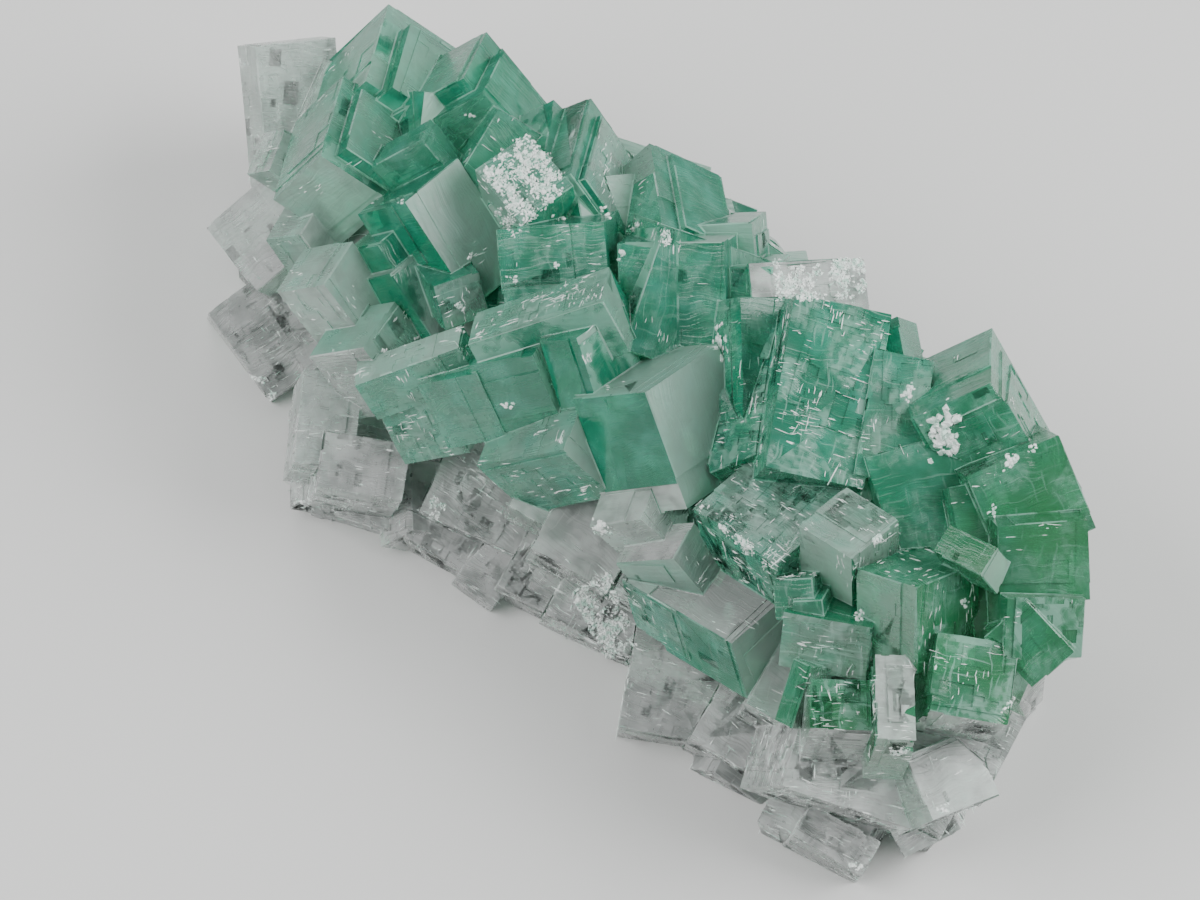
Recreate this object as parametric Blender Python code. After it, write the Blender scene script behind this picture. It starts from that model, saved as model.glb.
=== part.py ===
"""A halite cubic crystal cluster: one intergrown mass of see-through cubes, cut flat where it left its bed.

Each cube is laid out as it is seen from LOOK, a viewpoint above the long side: where its leading corner
lies across and up from the middle, how far it stands proud of the mound, and which way its edges run.
"""

import bpy
import bmesh
import numpy as np
from mathutils import Matrix, Vector

MM = 0.001
CRYSTAL_GREEN = (0.13, 0.36, 0.25, 1.0)
LOOK_AZIMUTH, LOOK_ELEVATION = 48.0, 55.0  # degrees, from the front and above
SIGHT = 700.0  # mm from the eye to the middle of the mound
MIDDLE = 22.0  # height of the middle of the view above the bed
MOUND_V = (-1.15, -0.95, -0.7, -0.3, 0.2, 0.7, 1.15)  # place across the mound, near side to far side
MOUND_Z = (5.0, 8.0, 16.0, 26.0, 34.0, 37.0, 34.0)  # mm, height of the mound there
MOUND_HALF = 21.0  # mm, half its width as seen
MOUND_MIDDLE, MOUND_SLANT = 4.5, 0.09
END_FROM, END_SPAN, END_DROP, LEAST = 25.0, 27.0, 11.0, 5.0  # mm

# Each row: across, up, proud; first edge's seen direction and how far it dips from the eye, second edge's
# seen direction (degrees); the three edge lengths. A minus third length comes toward the eye.
NORTH = (
    (-34.5, 40.4, 0, 7, 18, 275, 9, 16, 7.5),
    (-21.2, 44.8, 0, 220, 40, 327, 11, 9, -12),
    (-11.3, 42.1, 0, 207, 32, 310, 10, 10, -9),
    (-4.6, 35.2, -1, 207, 30, 316, 8, 8, -8),
    (-0.9, 35.3, 0, 201, 26, 306, 10, 8, -13),
    (4.8, 30.9, 0, 337, 34, 221, 10.1, 11, -11),
    (15.3, 22.8, 0, 183, 12, 275, 9.3, 10, 8.3),
    (26.5, 19.3, 0, 183, -10, 276, 12, 10, 12),
    (-25.7, 37.5, 1, 220, 40, 327, 9, 9, -12),
    (-16.8, 33.2, 0, 207, 32, 310, 7, 7, -4),
    (-7.3, 31.7, 1, 215, -12, 311, 6.6, 8, 12),
    (-19.0, 42.9, -0.6, 220, 40, 327, 8, 9, -10),
    (-9.6, 40.0, -0.5, 207, 32, 310, 8, 9, -8),
    (0.3, 33.6, -0.5, 201, 26, 306, 8, 8, -11),
    (7.2, 29.8, -0.5, 337, 34, 221, 6.5, 9, -10),
    (-23.8, 36.2, 0.4, 220, 40, 327, 8, 7, -9),
    (-30.0, 21.5, 1, 60, 35, 185, 5, 5, 6),
    (-33.2, 28.0, 0, 70, 20, 188, 5, 4, 8),
)
ROOF = (
    (-19.7, 24.8, 3, 40, 27, 190, 8, 10, 13),
    (-24.8, 21.0, 0, 239, -35, 307, 6.5, 11, 7),
    (-16.8, 16.2, 1, 20, 10, 285, 5, 5, 8),
    (0.3, 22.8, 1, 183, 12, 275, 11, 10, 10),
    (12.5, 20.8, 2, 180, 12, 272, 11, 14, 10),
    (17.2, 18.2, 0, 180, 12, 272, 8, 8, 10),
    (0.8, 18.5, 0, 199, 20, 257, 15, 6, 7),
    (-13.8, 12.6, 0, 199, 20, 262, 12, 4, 5),
    (-2.4, 11.1, 3, 35, 43, 287, 8, 9, 5),
    (-6.8, 9.5, 3, 57, 50, 295, 8, 8, 7.5),
    (-12.5, 7.7, 3, 57, 50, 295, 8, 8, 7),
    (-16.5, 7.0, 3, 57, 50, 295, 7, 9, 8),
    (4.5, 5.9, 3, 34, 43, 290, 12, 13, 10.1),
    (-3.7, 0.0, 3, 70, 30, 191, 6, 12, 8.5),
    (4.0, -6.8, 1, 70, 30, 191, 5, 7, 6),
    (13.1, -19.4, 2, 40, 23, 150, 8, 12, 8.2),
    (7.5, -16.2, 1, 40, 23, 150, 6, 8, 7),
    (7.2, -11.0, 1, 60, 30, 185, 5, 8, 6),
    (17.5, -11.5, 1, 40, 20, 145, 11, 12, 9),
    (25.2, -10.8, 1, 38, 30, 273, 7, 8, 7),
)
EAST = (
    (21.3, 15.4, 0.5, 203, 25, 276, 14, 15, 11),
    (29.3, 13.6, 4, 168, -8, 260, 10, 18, 14),
    (29.7, 13.4, 1, 343, 50, 280, 3.5, 12, 10),
    (39.1, 12.4, 0, 205, 14.5, 300.6, 9, 20, -13),
    (40.4, 10.0, -0.4, 205, 14.5, 300.6, 8, 14, -11),
    (40.0, 3.0, 0, 195, -10, 286, 14, 16, 14),
    (44.5, -2.0, 0, 190, -10, 281, 10, 17, 14),
    (39.8, -9.8, 2, 154, 30, 238, 6, 3.2, 5),
    (31.5, -13.8, 2, 272, 20, 20, 9, 9, 8),
    (49.7, -7.8, 0, 113, -10, 204, 10, 10, 12),
    (49.2, -15.0, 0, 93, -10, 184, 8, 9, 12),
    (48.2, -20.8, 0, 87, -10, 180, 6, 8, 10),
    (43.2, -24.0, 0, 42, -10, 133, 5.6, 7, 10),
    (28.0, -23.0, 0, 178, -6, 271, 7, 5.5, 11),
    (27.2, -17.8, 0, 170, 10, 265, 9, 6, 9),
    (19.3, -20.8, 2, 253, 10, 335, 6.5, 2.4, 4),
    (21.2, -12.8, 1, 183, 15, 275, 4, 4, 5),
    (22.2, -15.0, 1, 183, 15, 278, 3, 5, 5),
)
RIM = (
    (-39.5, 22.3, 0, 40, -8, 308, 8, 9, 10),
    (-39.3, 13.8, 0, 35, 5, 305, 13, 11.5, 12),
    (-29.0, -4.8, 0, 92, 20, 348, 11, 10, 4),
    (-18.8, 0.5, 0, 170, -8, 262, 9, 6, 10),
    (-28.8, -5.6, 0, 72, 12, 342, 10, 11, 10),
    (-19.5, -8.7, 0, 58, 12, 328, 10, 9, 9),
    (-14.5, -12.7, -1, 50, 12, 320, 8, 5, 9),
    (-10.3, -13.5, -1, 60, 12, 330, 8, 5.5, 9),
    (-18.2, -6.0, 1.5, 65, 10, 335, 9, 13, 9),
    (-7.0, -9.8, 1.5, 60, 10, 330, 10, 9, 9),
    (-5.5, -16.2, 0, 62, 12, 332, 9, 9.5, 9),
    (-0.4, -19.5, -4, 65, 12, 340, 4, 4, 6),
    (1.8, -27.8, 0, 80, 12, 350, 11, 9.6, 9),
    (9.0, -28.8, 0, 60, 12, 330, 12, 9.5, 9),
    (11.4, -32.2, -2, 60, 14, 324, 7, 8, 8),
    (15.5, -37.0, 0, 60, 12, 333, 12, 11, 7),
    (26.2, -42.7, 0, 60, 12, 150, 4, 8, 8),
    (30.5, -41.0, 0, 28, -10, 119, 6.5, 10, 9),
    (38.0, -35.8, 0, 63, -8, 154, 10, 10, 14),
    (30.5, -30.6, 1, 20, 25, 292, 8, 7, 8),
)

# Low crystals that close the gaps between the others.
GAPS = (
    (-20.5, 15.0, -1.5, 239, -35, 307, 7, 9, 8),
    (-22.3, 20.6, 0.8, 40, 27, 190, 8, 7, 13),
    (-21.0, 17.6, 0, 40, 27, 190, 8, 7, 9),
    (-23.5, 7.5, -0.5, 172, -8, 264, 6.2, 10, 10),
    (-18.8, -8.0, 0.5, 92, 20, 348, 8, 5, 6),
    (-9.2, -5.6, 0.5, 60, 10, 330, 6, 6, 8),
    (1.5, -13.8, 0, 62, 12, 332, 6, 6, 8),
    (14.5, -25.5, 0.5, 60, 12, 330, 8, 6, 8),
    (31.5, -20.5, 0, 178, -6, 271, 4, 9, 10),
    (41.8, -19.5, -0.5, 170, -8, 262, 8, 8, 10),
    (33.5, 9.0, 2, 168, -8, 260, 6, 13, 10),
)

# The far side and the two ends, which carry crystals of the same habit: place along and back from the middle,
# height of the centre, side, turn about the upright, tip over (mm and degrees).
BACK = (
    (-53, 12, 10, 14, 20, 30),
    (-46, 16, 12, 15, 50, 30),
    (-37, 19, 14, 16, 12, 38),
    (-27, 20, 14, 17, 35, 33),
    (-16, 21, 12, 16, 65, 30),
    (-5, 23, 13, 18, 22, 30),
    (6, 23, 12, 16, 48, 30),
    (16, 26, 13, 18, 10, 34),
    (26, 23, 12, 17, 38, 28),
    (33, 19, 12, 15, 60, 30),
    (37, 12, 11, 14, 20, 30),
    (-42, 24, 6, 12, 40, 15),
    (-31, 28, 6, 12, 5, 22),
    (-21, 29, 6, 13, 28, 12),
    (-10, 29, 6, 12, 60, 20),
    (1, 31, 7, 13, 15, 25),
    (12, 32, 6, 13, 44, 14),
    (23, 30, 6, 12, 70, 20),
    (29, 26, 5, 12, 25, 18),
    (31, 18, 5, 12, 50, 22),
    (-53, 6, 6, 11, 30, 18),
    (-47, 1, 4, 9, 55, 20),
    (41, 4, 7, 12, 20, 16),
    (37, -1, 12, 14, 30, 25),
    (-38, 12, 23, 12, 40, 35),
    (-28, 13, 26, 13, 10, 32),
    (-17, 15, 26, 12, 60, 30),
    (-6, 16, 27, 13, 25, 35),
    (5, 17, 26, 12, 50, 30),
    (15, 18, 25, 13, 15, 35),
    (25, 15, 22, 12, 40, 32),
    (-45, 14, 19, 13, 10, 35),
    (-33, 17, 19, 12, 62, 33),
    (-22, 21, 21, 14, 30, 30),
    (-11, 23, 21, 13, 5, 33),
    (0, 23, 19, 12, 66, 30),
    (11, 24, 18, 13, 34, 34),
)
MASS_ALONG = (-42, -28, -14, 0, 14, 28, 40)  # mm, where the mass under the skin is measured along the mound
MASS_SECTION = ((-0.5, 7.0), (-0.1, 6.0), (0.35, 5.5), (0.8, 7.0))  # place across the mound, mm below the skin


def turn(seen, dip):
    """A unit direction in the view's frame (across, up, toward the eye), from its seen direction and its dip."""
    a, r = np.radians(seen), np.radians(dip)
    return np.array((np.cos(a) * np.cos(r), np.sin(a) * np.cos(r), -np.sin(r)))


def lie_of(first_seen, first_dip, second_seen, toward):
    """The cube's three edge directions in the view's frame. The right angle gives the second's dip."""
    gap = np.radians(first_seen - second_seen)
    second_dip = np.degrees(np.arctan(-np.cos(gap) / np.tan(np.radians(first_dip))))
    first, second = turn(first_seen, first_dip), turn(second_seen, second_dip)
    third = np.cross(first, second)
    if (third[2] > 0) != toward:
        third = -third
    return first, second, third


def view_axes():
    a, e = np.radians(LOOK_AZIMUTH), np.radians(LOOK_ELEVATION)
    across = np.array((np.cos(a), np.sin(a), 0.0))
    back = np.array((np.sin(a) * np.cos(e), -np.cos(a) * np.cos(e), np.sin(e)))
    return across, np.cross(back, across), back


def mound_height(across, up):
    """The height of the mound's skin above the bed at a seen place, in mm."""
    along, over = (across - up) / 2**0.5, (across + up) / 2**0.5
    place = (over - MOUND_MIDDLE - MOUND_SLANT * along) / MOUND_HALF
    end = max(0.0, (abs(along) - END_FROM) / END_SPAN)
    return max(LEAST, float(np.interp(place, MOUND_V, MOUND_Z)) - END_DROP * end**2)


def corner_of(across, up, height):
    """The place of a corner seen at across, up and standing height above the bed, in mm."""
    right, upward, back = view_axes()
    toward = (height - MIDDLE - up * upward[2]) / back[2]
    nearer = 1 - toward / SIGHT
    toward = (height - MIDDLE - up * nearer * upward[2]) / back[2]
    nearer = 1 - toward / SIGHT
    spot = across * nearer * right + up * nearer * upward + toward * back
    return spot + np.array((0.0, 0.0, MIDDLE))


def cube_of(row):
    """A crystal's leading corner and its three edges, in mm."""
    across, up, proud, first_seen, first_dip, second_seen, *lengths = row
    frame = np.array(view_axes())
    edges = lie_of(first_seen, first_dip, second_seen, lengths[2] < 0)
    spot = corner_of(across, up, mound_height(across, up) + proud)
    return spot, [abs(n) * (edge @ frame) for n, edge in zip(lengths, edges)]


def new_collection(name, hidden=False):
    collection = bpy.data.collections.new(name)
    bpy.context.scene.collection.children.link(collection)
    collection.hide_render = hidden
    return collection


def block(name, spot, edges, collection):
    """A closed box from a corner and its three edges, all in mm."""
    form = bmesh.new()
    bmesh.ops.create_cube(form, size=1.0, matrix=Matrix.Translation((0.5, 0.5, 0.5)))
    basis = Matrix([list(edge) for edge in edges]).transposed().to_4x4()
    bmesh.ops.transform(form, matrix=Matrix.Translation(spot) @ basis, verts=form.verts)
    bmesh.ops.scale(form, vec=(MM, MM, MM), verts=form.verts)
    bmesh.ops.recalc_face_normals(form, faces=form.faces)
    mesh = bpy.data.meshes.new(name)
    form.to_mesh(mesh)
    form.free()
    made = bpy.data.objects.new(name, mesh)
    collection.objects.link(made)
    return made


def centred(row, collection, name):
    """A cube about its centre, turned and tipped."""
    along, over, height, side, turned, tipped = row
    spin = Matrix.Rotation(np.radians(turned), 3, "Z") @ Matrix.Rotation(np.radians(tipped), 3, "X")
    spin = spin @ Matrix.Rotation(np.radians(tipped), 3, "Y")
    edges = [spin.col[i] * side for i in range(3)]
    spot = Vector((along, over, height)) - sum(edges, Vector()) / 2
    return block(name, spot, edges, collection)


def mass_under_skin(collection):
    """The joined mass inside: a faceted mound a little below the crystals' skin."""
    form = bmesh.new()
    for along in MASS_ALONG:
        for across_mound, depth in MASS_SECTION:
            over = MOUND_MIDDLE + MOUND_SLANT * along + MOUND_HALF * across_mound
            across, up = (over + along) / 2**0.5, (over - along) / 2**0.5
            height = mound_height(across, up) - depth
            spot = corner_of(across, up, height)
            form.verts.new(Vector(spot) * MM)
            form.verts.new(Vector((spot[0], spot[1], -4.0)) * MM)
    made = bmesh.ops.convex_hull(form, input=form.verts)
    spare = {v for v in made["geom_interior"] + made["geom_unused"] if isinstance(v, bmesh.types.BMVert)}
    bmesh.ops.delete(form, geom=list(spare), context="VERTS")
    bmesh.ops.recalc_face_normals(form, faces=form.faces)
    mesh = bpy.data.meshes.new("mass_under_skin")
    form.to_mesh(mesh)
    form.free()
    made = bpy.data.objects.new("crystal_cluster", mesh)
    collection.objects.link(made)
    return made


def joined(target, growth):
    """Every crystal grown into the one mass."""
    union = target.modifiers.new("grown_together", "BOOLEAN")
    union.operation, union.solver = "UNION", "EXACT"
    union.operand_type, union.collection = "COLLECTION", growth


def islands_of(form):
    """The separate closed skins of a mesh, each as a list of its faces."""
    left, found = set(form.faces), []
    while left:
        island, edge_of_search = [], [left.pop()]
        while edge_of_search:
            face = edge_of_search.pop()
            island.append(face)
            for near in {other for edge in face.edges for other in edge.link_faces} & left:
                left.discard(near)
                edge_of_search.append(near)
        found.append(island)
    return found


def inward(island):
    """True for the skin of a void, whose faces look inward."""
    total = 0.0
    for face in island:
        fan = [v.co for v in face.verts]
        total += sum(fan[0].dot(a.cross(b)) for a, b in zip(fan[1:], fan[2:]))
    return total < 0


def grown_solid(target):
    """Bakes the joined growth and fills the voids left between the crystals inside it."""
    bpy.context.view_layer.update()
    graph = bpy.context.evaluated_depsgraph_get()
    mesh = bpy.data.meshes.new_from_object(target.evaluated_get(graph))
    form = bmesh.new()
    form.from_mesh(mesh)
    voids = [face for island in islands_of(form) if inward(island) for face in island]
    bmesh.ops.delete(form, geom=voids, context="FACES")
    form.to_mesh(mesh)
    form.free()
    target.modifiers.clear()
    target.data = mesh


def cut_flat(target, cutters):
    """The flat underside, where the cluster came off its bed."""
    side, depth = 200.0, 60.0
    corner = Vector((-side / 2, -side / 2, -depth))
    bed = block("bed", corner, Matrix.Diagonal((side, side, depth)), cutters)
    cut = target.modifiers.new("off_its_bed", "BOOLEAN")
    cut.operation, cut.solver, cut.object = "DIFFERENCE", "EXACT", bed


def set_on_middle(target):
    """Moves the cluster so that the middle of its footprint is the origin."""
    bpy.context.view_layer.update()
    shape = target.evaluated_get(bpy.context.evaluated_depsgraph_get())
    corners = np.array([corner[:] for corner in shape.bound_box])
    middle = (corners.min(axis=0) + corners.max(axis=0)) / 2
    target.data.transform(Matrix.Translation((-middle[0], -middle[1], 0.0)))


def crystal_material():
    """Clear pale green crystal."""
    made = bpy.data.materials.new("crystal")
    made.use_nodes = True
    shader = made.node_tree.nodes["Principled BSDF"]
    shader.inputs["Base Color"].default_value = CRYSTAL_GREEN
    shader.inputs["Roughness"].default_value = 0.12
    shader.inputs["IOR"].default_value = 1.54
    shader.inputs["Transmission Weight"].default_value = 0.85
    made.diffuse_color = CRYSTAL_GREEN
    return made


def main():
    for obj in list(bpy.data.objects):
        bpy.data.objects.remove(obj, do_unlink=True)
    cluster = new_collection("halite_cubic_crystal")
    growth = new_collection("growth", hidden=True)
    cutters = new_collection("cutters", hidden=True)
    mass = mass_under_skin(cluster)
    for zone, rows in (("north", NORTH), ("roof", ROOF), ("east", EAST), ("rim", RIM), ("gap", GAPS)):
        for i, row in enumerate(rows):
            block(f"{zone}_{i}", *cube_of(row), growth)
    for i, row in enumerate(BACK):
        centred(row, growth, f"back_{i}")
    joined(mass, growth)
    grown_solid(mass)
    cut_flat(mass, cutters)
    set_on_middle(mass)
    mass.data.materials.append(crystal_material())
    for helper in list(growth.objects) + list(cutters.objects):
        helper.hide_render, helper.display_type = True, "WIRE"


if __name__ == "__main__":
    main()
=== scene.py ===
"""A cluster of intergrown cubic crystals, mint to deep green and clear along its rim, on its cast frame."""

import math

import bmesh
import bpy
import numpy as np
from bpy.props import FloatProperty, FloatVectorProperty, IntProperty, PointerProperty
from mathutils import Matrix, Vector
from mathutils.bvhtree import BVHTree


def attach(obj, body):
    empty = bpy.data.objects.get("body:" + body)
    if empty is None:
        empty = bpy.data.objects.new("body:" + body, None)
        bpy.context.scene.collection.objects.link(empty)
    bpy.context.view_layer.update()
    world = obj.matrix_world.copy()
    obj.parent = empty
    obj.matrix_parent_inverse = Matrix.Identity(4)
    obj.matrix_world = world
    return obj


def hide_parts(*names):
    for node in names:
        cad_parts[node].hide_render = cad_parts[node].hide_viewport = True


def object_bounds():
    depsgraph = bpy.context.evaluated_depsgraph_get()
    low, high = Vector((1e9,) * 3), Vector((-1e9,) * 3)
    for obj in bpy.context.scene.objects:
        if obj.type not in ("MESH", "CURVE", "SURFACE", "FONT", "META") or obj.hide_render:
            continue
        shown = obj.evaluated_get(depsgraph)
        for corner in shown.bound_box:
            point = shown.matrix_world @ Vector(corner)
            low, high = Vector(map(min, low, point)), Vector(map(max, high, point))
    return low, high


bl_info = {
    "name": "Green cubic crystal cluster",
    "version": (1, 0, 0),
    "blender": (4, 5, 0),
    "location": "View3D > Sidebar > Crystal",
    "description": "Grows the skin, flaws and chips of an intergrown cluster of cubic crystals",
    "category": "Object",
}

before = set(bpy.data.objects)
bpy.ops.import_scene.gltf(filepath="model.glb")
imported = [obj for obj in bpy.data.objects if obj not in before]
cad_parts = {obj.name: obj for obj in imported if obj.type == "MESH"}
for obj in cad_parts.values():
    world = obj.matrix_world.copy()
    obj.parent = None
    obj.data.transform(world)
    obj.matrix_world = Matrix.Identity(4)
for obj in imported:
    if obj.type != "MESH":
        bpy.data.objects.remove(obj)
CAST_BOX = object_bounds()

MM = 0.001
NODE = "crystal_cluster"
SEED = 41
LOOK_AZIMUTH, LOOK_ELEVATION = 48.0, 55.0  # degrees: the side the cluster is shown from
LOOK_MIDDLE = Vector((6.95, -10.45, 22.0))  # mm, the point looked at
SIGHT = 700.0  # mm from the eye to it
SEEN_WIDTH = 120.0  # mm across the picture at that distance

SAME_CORNER, SAME_FACE = 5e-7, math.radians(0.4)  # cast corners this near (m) and faces this flat are one
BED_FACING, BED_HEIGHT = -0.93, 0.0009  # how far down a bed face looks, and the most height of its middle (m)
LEDGE_FACE, WIDE_FACE = 9, 30  # mm2: the least face with a ledge, and the least with more than one
LEAST_LEDGE = 4e-7  # m2
WORN_TURN = math.radians(25)  # edges that turn this much are worn
STRAY = 1.3  # how many widths a corner may stray when its edge wears
LEAST_ROUGH = 0.25  # how broken the skin is outside the rough stretches
PIT_FACE, FILM_FACE = 5e-6, 8e-6  # m2: the least face with pits and bright cracks, and with inner cracks
FILM_CORNERS = 42  # corners of one inner crack
FILM_CLEARANCE = 0.12 * MM  # the least distance from an inner crack to the skin
LEDGE_REACH = 0.3 * MM  # deeper than any ledge or pit
EDGE_FACING = 0.965  # a piece of skin that is turned more than this from its crystal's face is a worn edge
NOTES = ("satin", "lot", "edge", "own", "tone", "broken")  # what the skin's faces know of their looks
SPREAD = ("tilt", "way", "spread")  # what a scattered point knows: its two directions and its size
SATIN_AND_SHEEN_SIDE, SATIN_AND_SHEEN_TOP = Vector((0.70, 0.19, 0.68)), Vector((-0.19, 0.0, 0.98))  # where the satin faces with their painted sheen look

CRYSTAL_IOR = 1.49
SEE_THROUGH, BRUISE_THROUGH = 0.60, 0.15  # transmission of the crystal and of its bruises
BODY_TINT, BODY_DENSITY = (0.22, 0.82, 0.60, 1.0), 45.0  # what the crystal's volume lets through
RELIEF_DEPTH, BED_DEPTH = 0.00022, 0.0004  # m, the bump of the growth relief and of the bed

AIR = (0.47, 0.48, 0.49, 1.0)  # the studio's even light
LAMPS = {  # azimuth and elevation (degrees), distance and size (m)
    "key": (132, 34, 0.60, 0.50),
    "fill": (243, 42, 0.70, 0.45),
    "rim": (-20, 45, 0.70, 0.55),
}
LAMP_AIM = Vector((0, 0, 0.015))
FLOOR_HALF = 2.0  # m

# White bruises and chips: across and up from the middle looked at, length, width (mm), turn (degrees).
BRUISES = (
    (-12.9, 33.3, 0.9, 0.7, 10), (-19.7, 24.8, 0.7, 0.5, 40), (-9.1, 4.3, 1.2, 0.8, 0),
    (3.6, 22.2, 1.5, 1.0, 20), (2.3, 19.5, 1.0, 0.8, 70), (-4.0, 23.2, 1.4, 0.9, 15),
    (0.5, 23.7, 1.3, 0.8, 150), (-8.7, 17.1, 1.0, 0.7, 0), (-4.3, 18.4, 0.8, 0.6, 60),
    (-14.0, 14.5, 1.2, 0.9, 30), (-14.1, 11.9, 1.0, 0.7, 120), (-18.3, 11.3, 0.8, 0.6, 20),
    (-12.9, 19.5, 1.1, 0.7, 45), (-21.7, 10.0, 0.9, 0.6, 80), (-34.2, 7.0, 1.3, 0.9, 10),
    (-33.0, 5.5, 1.2, 0.8, 35), (-29.7, -5.3, 1.6, 0.9, 160), (12.1, 11.1, 3.4, 1.3, 95),
    (31.1, 5.8, 2.0, 1.1, 60), (34.1, 2.2, 3.8, 2.2, 80), (35.0, 0.6, 2.4, 1.8, 130),
    (41.1, -1.2, 1.9, 1.2, 70), (43.3, 0.0, 1.0, 0.7, 0), (39.4, -6.1, 1.1, 0.8, 40),
    (36.2, -15.3, 1.2, 0.9, 10), (26.0, -16.5, 1.3, 0.9, 75), (27.8, -9.0, 1.3, 1.0, 25),
    (34.5, -35.8, 1.4, 1.0, 5), (40.8, -25.5, 1.2, 0.8, 50), (25.5, -41.5, 1.3, 0.9, 145),
    (0.1, -7.8, 2.2, 1.4, 120), (-35.8, 38.6, 1.2, 0.8, 20),
)
# Sugary patches: across, up, half length, half width (mm), turn (degrees), grains.
SUGAR = (
    (-7.4, 27.3, 3.6, 3.1, -46, 900), (-8.6, 23.4, 1.6, 1.6, -46, 160), (22.0, 17.2, 4.6, 2.2, 3, 620),
    (0.7, -16.7, 2.2, 3.9, 28, 760), (6.2, 21.2, 0.8, 0.8, 0, 70), (30.0, -30.0, 1.0, 0.5, 15, 50),
    (-16.2, -5.8, 0.8, 1.2, 0, 60), (13.5, -8.7, 4.6, 0.5, -42, 120),
)
# Broken and etched stretches of skin: across, up, half length, half width (mm), turn (degrees), how much.
ROUGH = (
    (-22.0, -6.0, 12.0, 5.0, -28, 1.0), (0.0, -17.0, 13.0, 5.0, -35, 1.0),
    (17.0, -33.0, 14.0, 6.0, -38, 1.0), (37.0, -36.0, 8.0, 6.0, 30, 0.9),
    (18.0, -7.0, 11.0, 4.5, -25, 0.9), (20.0, 5.0, 10.0, 8.0, 0, 0.6), (-6.0, 14.0, 7.0, 3.0, 20, 0.8),
    (25.0, -20.0, 6.0, 4.0, 0, 0.8), (25.5, -25.0, 4.0, 3.5, 0, 1.0), (34.0, 2.0, 5.0, 6.0, 80, 0.6),
    (-34.0, 33.0, 6.0, 7.0, 0, 0.5), (-30.0, 10.0, 5.0, 6.0, 0, 0.5),
)
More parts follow.
